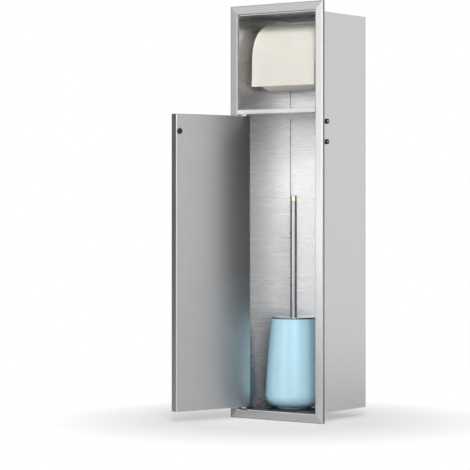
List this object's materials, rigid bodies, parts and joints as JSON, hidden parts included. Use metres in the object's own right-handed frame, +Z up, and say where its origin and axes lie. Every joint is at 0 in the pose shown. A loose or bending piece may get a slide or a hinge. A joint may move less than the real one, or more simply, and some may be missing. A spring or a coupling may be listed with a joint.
{
  "type": "recessed toilet roll and brush cabinet",
  "caption": "Recessed stainless wall cabinet with an open roll niche above and a hinged door below that hides a toilet brush in its cup.",
  "frame": {"origin": "on the wall plane, at the middle of the lower frame bar's rear face", "axes": "+X to the right seen from the room, +Y into the wall, +Z up"},
  "size_m": [0.2016, 0.2744, 0.6579],
  "materials": {
    "steel_body": "satin, brushed along the sheet",
    "steel_shelf": "satin, brushed across the front",
    "steel_frame": "satin, brushed along each bar, bright rounded edges",
    "steel_door": "satin, brushed across the door",
    "bright_steel": "bright turned steel",
    "spring_steel": "drawn wire",
    "dark_screw": "blackened steel",
    "black_nylon": "moulded",
    "black_plastic": "moulded",
    "grey_plastic": "moulded",
    "white_plastic": "moulded",
    "brass_bush": "turned",
    "brass_cap": "polished",
    "handle_chrome": "polished",
    "dark_chrome": "polished",
    "blue_cup": "soft satin coating",
    "tissue": "soft embossed tissue",
    "core_board": "grey board",
    "bristle": "nylon bristle"
  },
  "bodies": {
    "cabinet": {"body_wrap": "steel_body", "top_cap": "steel_body", "bottom_cap": "steel_body", "divider_shelf": "steel_shelf", "frame_left": "steel_frame", "frame_right": "steel_frame", "frame_top": "steel_frame", "frame_bottom": "steel_frame", "upper_hinge_plate": "bright_steel", "lower_hinge_plate": "bright_steel", "hinge_screws": "bright_steel", "latch_housing": "black_plastic", "latch_spring": "spring_steel", "latch_screws": "dark_screw", "socket_left": "bright_steel", "socket_right": "bright_steel", "socket_screws": "steel_body", "spindle_outer": "white_plastic", "spindle_spring": "spring_steel", "brush_cup": "blue_cup"},
    "door": {"door_skin": "steel_door", "door_inner_panel": "steel_door", "upper_pivot_block": "black_nylon", "lower_pivot_block": "black_nylon", "upper_pivot_bush": "brass_bush", "lower_pivot_bush": "brass_bush", "striker_ring": "black_plastic", "striker_screw": "dark_screw"},
    "latch_button": {"latch_plunger": "grey_plastic", "latch_magnet": "bright_steel"},
    "spindle_end": {"spindle_inner": "white_plastic"},
    "roll": {"paper_roll": "tissue", "roll_core": "core_board"},
    "roll_tail": {"paper_tail": "tissue"},
    "brush": {"brush_lid": "dark_chrome", "brush_collar": "white_plastic", "brush_handle": "handle_chrome", "handle_cap": "brass_cap", "brush_head": "bristle"}
  },
  "joints": [
    {"name": "door_hinge", "type": "hinge", "parent": "cabinet", "child": "door", "pos_m": [-0.065, 0.0005, 0.2429], "axis": [0, 0, 1], "range_deg": [-7, 108]},
    {"name": "latch_push", "type": "slide", "parent": "cabinet", "child": "latch_button", "axis": [0, 1, 0], "range_m": [0, 0.003], "stiffness_N_per_m": 600, "deforming": ["latch_spring"]},
    {"name": "spindle_squeeze", "type": "slide", "parent": "cabinet", "child": "spindle_end", "axis": [-1, 0, 0], "range_m": [0, 0.008], "stiffness_N_per_m": 500, "deforming": ["spindle_spring"]},
    {"name": "roll_spin", "type": "hinge", "parent": "cabinet", "child": "roll", "pos_m": [0, 0.0665, 0.57045], "axis": [1, 0, 0], "continuous": true},
    {"name": "tail_hang", "type": "hinge", "parent": "roll", "child": "roll_tail", "pos_m": [0, 0.0665, 0.57045], "axis": [1, 0, 0], "continuous": true},
    {"name": "brush_lift", "type": "slide", "parent": "cabinet", "child": "brush", "axis": [0, 0, 1], "range_m": [0, 0.12]}
  ],
  "couplings": [
    {"joint": "tail_hang", "follows": "roll_spin", "ratio": -1}
  ]
}
